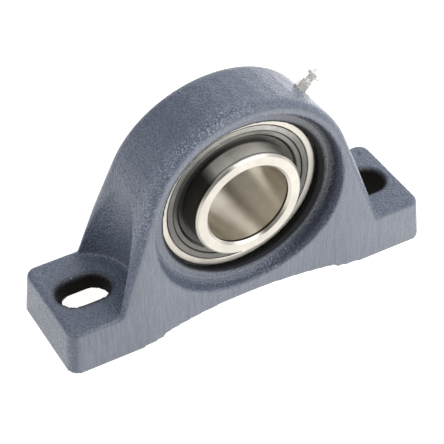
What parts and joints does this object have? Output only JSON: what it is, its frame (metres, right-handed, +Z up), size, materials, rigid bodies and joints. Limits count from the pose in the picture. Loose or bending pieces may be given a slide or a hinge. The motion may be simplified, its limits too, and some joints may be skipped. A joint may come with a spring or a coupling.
{
  "type": "pillow block bearing",
  "caption": "Cast pillow block housing with two slotted feet, a self-aligning sealed ball bearing insert locked by grub screws, and a grease nipple.",
  "frame": {"origin": "on the plane that the feet stand on, midway between the two bolt slots and below the bearing's centre", "axes": "+X along the housing towards the grease nipple's side, +Y along the shaft axis to the back where the grub screws are, +Z up"},
  "size_m": [0.16, 0.0479, 0.0929],
  "materials": {
    "ball_steel": "polished",
    "bearing_steel": "ground and honed",
    "black_steel": "black oxide",
    "cage_plastic": "glass-filled moulded polyamide",
    "housing_paint": "semi-gloss slate blue-grey paint over sand-cast iron",
    "seal_rubber": "moulded nitrile rubber",
    "sheet_steel": "zinc-dull pressed sheet",
    "spring_steel": "drawn wire",
    "zinc_plate": "bright zinc plate"
  },
  "bodies": {
    "housing": {"housing": "housing_paint", "grease_nipple": "zinc_plate", "nipple_spring": "spring_steel"},
    "check_ball": {"nipple_check_ball": "ball_steel"},
    "outer_race": {"outer_ring": "bearing_steel", "seal_plate_front": "sheet_steel", "seal_plate_back": "sheet_steel", "seal_lip_front": "seal_rubber", "seal_lip_back": "seal_rubber"},
    "inner_race": {"inner_ring": "bearing_steel", "flinger_front": "sheet_steel", "flinger_back": "sheet_steel"},
    "cage": {"cage": "cage_plastic"},
    "grub_screw_1": {"grub_screw_1": "black_steel"},
    "grub_screw_2": {"grub_screw_2": "black_steel"},
    "ball_1": {"ball_1": "ball_steel"},
    "ball_2": {"ball_2": "ball_steel"},
    "ball_3": {"ball_3": "ball_steel"},
    "ball_4": {"ball_4": "ball_steel"},
    "ball_5": {"ball_5": "ball_steel"},
    "ball_6": {"ball_6": "ball_steel"},
    "ball_7": {"ball_7": "ball_steel"},
    "ball_8": {"ball_8": "ball_steel"},
    "ball_9": {"ball_9": "ball_steel"}
  },
  "joints": [
    {"name": "self_align", "type": "hinge", "parent": "housing", "child": "outer_race", "pos_m": [0, 0, 0.0476], "axis": [1, 0, 0], "range_deg": [-5, 5]},
    {"name": "shaft_spin", "type": "hinge", "parent": "outer_race", "child": "inner_race", "pos_m": [0, 0, 0.0476], "axis": [0, 1, 0], "continuous": true},
    {"name": "cage_orbit", "type": "hinge", "parent": "outer_race", "child": "cage", "pos_m": [0, 0, 0.0476], "axis": [0, 1, 0], "continuous": true},
    {"name": "ball_1_roll", "type": "hinge", "parent": "cage", "child": "ball_1", "pos_m": [0, 0, 0.07435], "axis": [0, 1, 0], "continuous": true},
    {"name": "ball_2_roll", "type": "hinge", "parent": "cage", "child": "ball_2", "pos_m": [-0.01719, 0, 0.06809], "axis": [0, 1, 0], "continuous": true},
    {"name": "ball_3_roll", "type": "hinge", "parent": "cage", "child": "ball_3", "pos_m": [-0.02634, 0, 0.05225], "axis": [0, 1, 0], "continuous": true},
    {"name": "ball_4_roll", "type": "hinge", "parent": "cage", "child": "ball_4", "pos_m": [-0.02317, 0, 0.03422], "axis": [0, 1, 0], "continuous": true},
    {"name": "ball_5_roll", "type": "hinge", "parent": "cage", "child": "ball_5", "pos_m": [-0.00915, 0, 0.02246], "axis": [0, 1, 0], "continuous": true},
    {"name": "ball_6_roll", "type": "hinge", "parent": "cage", "child": "ball_6", "pos_m": [0.00915, 0, 0.02246], "axis": [0, 1, 0], "continuous": true},
    {"name": "ball_7_roll", "type": "hinge", "parent": "cage", "child": "ball_7", "pos_m": [0.02317, 0, 0.03422], "axis": [0, 1, 0], "continuous": true},
    {"name": "ball_8_roll", "type": "hinge", "parent": "cage", "child": "ball_8", "pos_m": [0.02634, 0, 0.05225], "axis": [0, 1, 0], "continuous": true},
    {"name": "ball_9_roll", "type": "hinge", "parent": "cage", "child": "ball_9", "pos_m": [0.01719, 0, 0.06809], "axis": [0, 1, 0], "continuous": true},
    {"name": "grub_screw_1_travel", "type": "slide", "parent": "inner_race", "child": "grub_screw_1", "axis": [0.866, 0, -0.5], "range_m": [-0.004, 0.00035]},
    {"name": "grub_screw_2_travel", "type": "slide", "parent": "inner_race", "child": "grub_screw_2", "axis": [-0.866, 0, -0.5], "range_m": [-0.004, 0.00035]},
    {"name": "nipple_check", "type": "slide", "parent": "housing", "child": "check_ball", "axis": [-0.7314, 0, -0.682], "range_m": [0, 0.001], "stiffness_N_per_m": 150, "springref_m": -0.001, "deforming": ["nipple_spring"]}
  ],
  "couplings": [
    {"joint": "cage_orbit", "follows": "shaft_spin", "ratio": 0.39615},
    {"joint": "ball_1_roll", "follows": "shaft_spin", "ratio": -2.3035},
    {"joint": "ball_2_roll", "follows": "shaft_spin", "ratio": -2.3035},
    {"joint": "ball_3_roll", "follows": "shaft_spin", "ratio": -2.3035},
    {"joint": "ball_4_roll", "follows": "shaft_spin", "ratio": -2.3035},
    {"joint": "ball_5_roll", "follows": "shaft_spin", "ratio": -2.3035},
    {"joint": "ball_6_roll", "follows": "shaft_spin", "ratio": -2.3035},
    {"joint": "ball_7_roll", "follows": "shaft_spin", "ratio": -2.3035},
    {"joint": "ball_8_roll", "follows": "shaft_spin", "ratio": -2.3035},
    {"joint": "ball_9_roll", "follows": "shaft_spin", "ratio": -2.3035}
  ]
}
